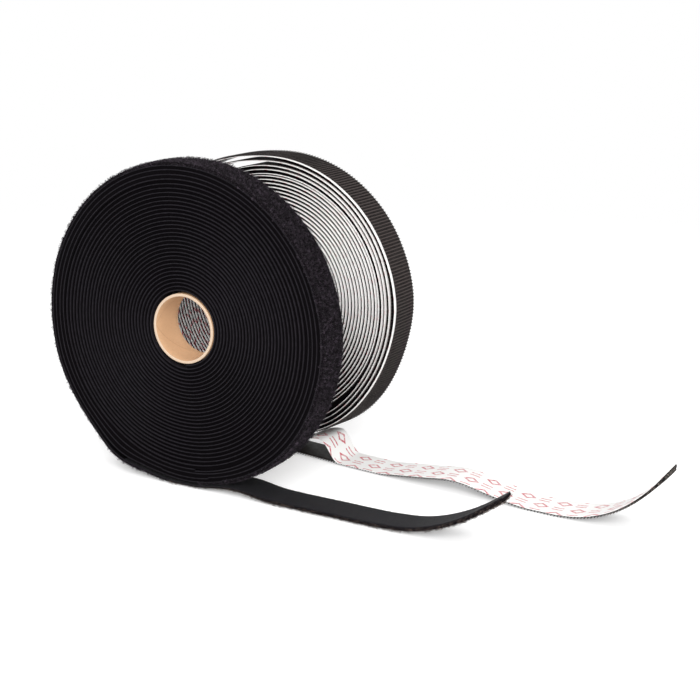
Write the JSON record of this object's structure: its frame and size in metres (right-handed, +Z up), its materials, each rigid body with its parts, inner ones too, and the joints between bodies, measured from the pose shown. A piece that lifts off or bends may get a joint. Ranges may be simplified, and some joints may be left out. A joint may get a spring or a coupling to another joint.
{
  "type": "hook and loop tape roll",
  "caption": "Black hook and loop tape rolls on card cores: a soft loop roll beside an adhesive-backed hook roll with a printed release liner, tails run out along the table.",
  "frame": {"origin": "on the table, under the middle of the loop roll, at the flat of its last turn", "axes": "+Z up from the table, +Y along the roll axes from the loop roll towards the hook roll, +X the way the tails run out"},
  "size_m": [0.3753, 0.1147, 0.1932],
  "materials": {
    "loop_fabric": "black brushed loop pile on a smooth woven ground",
    "hook_fabric": "black woven ground with rows of stiff hooks, adhesive on the back",
    "liner_paper": "white coated release paper with a red pattern",
    "core_card": "matt tan wound board"
  },
  "bodies": {
    "loop_tail": {"loop_tail": "loop_fabric"},
    "loop_roll": {"loop_core": "core_card", "loop_winding": "loop_fabric"},
    "hook_tail": {"hook_tail": "hook_fabric", "hook_tail_liner": "liner_paper"},
    "hook_roll": {"hook_core": "core_card", "hook_winding": "hook_fabric", "hook_liner_winding": "liner_paper"},
    "liner_end": {"hook_liner_end": "liner_paper"}
  },
  "joints": [
    {"name": "loop_spin", "type": "hinge", "parent": "loop_tail", "child": "loop_roll", "pos_m": [0, 0, 0.09664], "axis": [0, 1, 0], "continuous": true},
    {"name": "pair_slide", "type": "slide", "parent": "loop_tail", "child": "hook_tail", "axis": [0, 1, 0], "range_m": [-0.03, 0.15]},
    {"name": "hook_spin", "type": "hinge", "parent": "hook_tail", "child": "hook_roll", "pos_m": [0.0066, 0.0882, 0.09982], "axis": [0, 1, 0], "continuous": true},
    {"name": "liner_peel", "type": "hinge", "parent": "hook_tail", "child": "liner_end", "pos_m": [0.24997, 0.0616, 0.01639], "axis": [0, -1, 0], "range_deg": [0, 100]}
  ]
}
